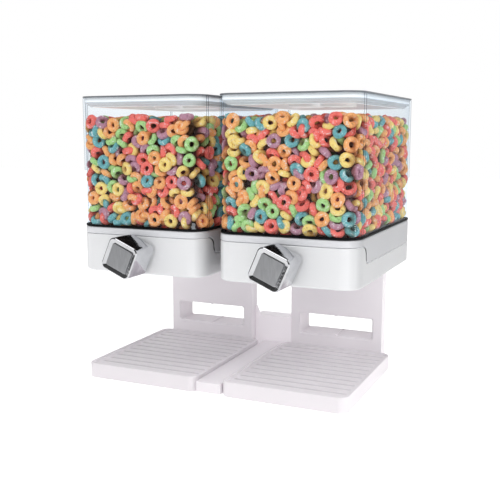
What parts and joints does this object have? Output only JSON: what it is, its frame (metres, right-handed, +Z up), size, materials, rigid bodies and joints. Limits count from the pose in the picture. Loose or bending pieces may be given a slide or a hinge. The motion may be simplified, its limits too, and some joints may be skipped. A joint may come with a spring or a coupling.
{
  "type": "cereal dispenser",
  "caption": "Free-standing twin cereal dispenser: clear lidded canisters over knob-turned paddle wheels, on columns with a slot and grooved trays below.",
  "frame": {"origin": "middle of the footprint, on the table the feet rest on", "axes": "+X to the right seen from the knobs, along the row of the two canisters; +Y to the back, so the knobs face -Y; +Z up"},
  "size_m": [0.3146, 0.259, 0.3084],
  "materials": {
    "white_plastic": "smooth moulded, semi-gloss",
    "clear_plastic": "clear, polished",
    "black_rubber": "matt",
    "grey_silicone": "matt translucent silicone",
    "grey_plastic": "matt",
    "knob_chrome": "mirror plated, bright bevel",
    "knob_plate": "fine brushed",
    "steel": "plain drawn and zinc plated"
  },
  "bodies": {
    "stand": {"base_strip": "white_plastic", "rear_bridge": "white_plastic", "base_screw_left_a": "steel", "top_screw_left_a": "steel", "front_foot_left_a": "black_rubber", "rear_foot_left_a": "black_rubber", "base_screw_left_b": "steel", "top_screw_left_b": "steel", "front_foot_left_b": "black_rubber", "rear_foot_left_b": "black_rubber", "housing_left": "white_plastic", "drum_casing_left": "white_plastic", "front_bush_left": "grey_plastic", "column_left": "white_plastic", "column_cover_left": "white_plastic", "foot_plate_left": "white_plastic", "base_screw_right_a": "steel", "top_screw_right_a": "steel", "front_foot_right_a": "black_rubber", "rear_foot_right_a": "black_rubber", "base_screw_right_b": "steel", "top_screw_right_b": "steel", "front_foot_right_b": "black_rubber", "rear_foot_right_b": "black_rubber", "housing_right": "white_plastic", "drum_casing_right": "white_plastic", "front_bush_right": "grey_plastic", "column_right": "white_plastic", "column_cover_right": "white_plastic", "foot_plate_right": "white_plastic"},
    "canister_body_left": {"canister_left": "clear_plastic", "canister_seal_left": "black_rubber", "collar_left": "white_plastic", "hopper_left": "white_plastic"},
    "lid_body_left": {"lid_left": "white_plastic", "lid_gasket_left": "grey_silicone"},
    "wheel_left": {"paddle_hub_left": "white_plastic", "paddle_vanes_left": "grey_silicone", "shaft_left": "steel", "shaft_clip_left": "steel", "knob_left": "knob_chrome", "knob_face_left": "knob_plate"},
    "tray_body_left": {"tray_left": "white_plastic"},
    "canister_body_right": {"canister_right": "clear_plastic", "canister_seal_right": "black_rubber", "collar_right": "white_plastic", "hopper_right": "white_plastic"},
    "lid_body_right": {"lid_right": "white_plastic", "lid_gasket_right": "grey_silicone"},
    "wheel_right": {"paddle_hub_right": "white_plastic", "paddle_vanes_right": "grey_silicone", "shaft_right": "steel", "shaft_clip_right": "steel", "knob_right": "knob_chrome", "knob_face_right": "knob_plate"},
    "tray_body_right": {"tray_right": "white_plastic"}
  },
  "joints": [
    {"name": "canister_lift_left", "type": "slide", "parent": "stand", "child": "canister_body_left", "axis": [0, 0, 1], "range_m": [0, 0.16]},
    {"name": "lid_lift_left", "type": "slide", "parent": "canister_body_left", "child": "lid_body_left", "axis": [0, 0, 1], "range_m": [0, 0.05]},
    {"name": "wheel_turn_left", "type": "hinge", "parent": "stand", "child": "wheel_left", "pos_m": [-0.08225, 0.0185, 0.1435], "axis": [0, 1, 0], "continuous": true},
    {"name": "tray_lift_left", "type": "slide", "parent": "stand", "child": "tray_body_left", "axis": [0, 0, 1], "range_m": [0, 0.03]},
    {"name": "canister_lift_right", "type": "slide", "parent": "stand", "child": "canister_body_right", "axis": [0, 0, 1], "range_m": [0, 0.16]},
    {"name": "lid_lift_right", "type": "slide", "parent": "canister_body_right", "child": "lid_body_right", "axis": [0, 0, 1], "range_m": [0, 0.05]},
    {"name": "wheel_turn_right", "type": "hinge", "parent": "stand", "child": "wheel_right", "pos_m": [0.08225, 0.0185, 0.1435], "axis": [0, 1, 0], "continuous": true},
    {"name": "tray_lift_right", "type": "slide", "parent": "stand", "child": "tray_body_right", "axis": [0, 0, 1], "range_m": [0, 0.03]}
  ]
}
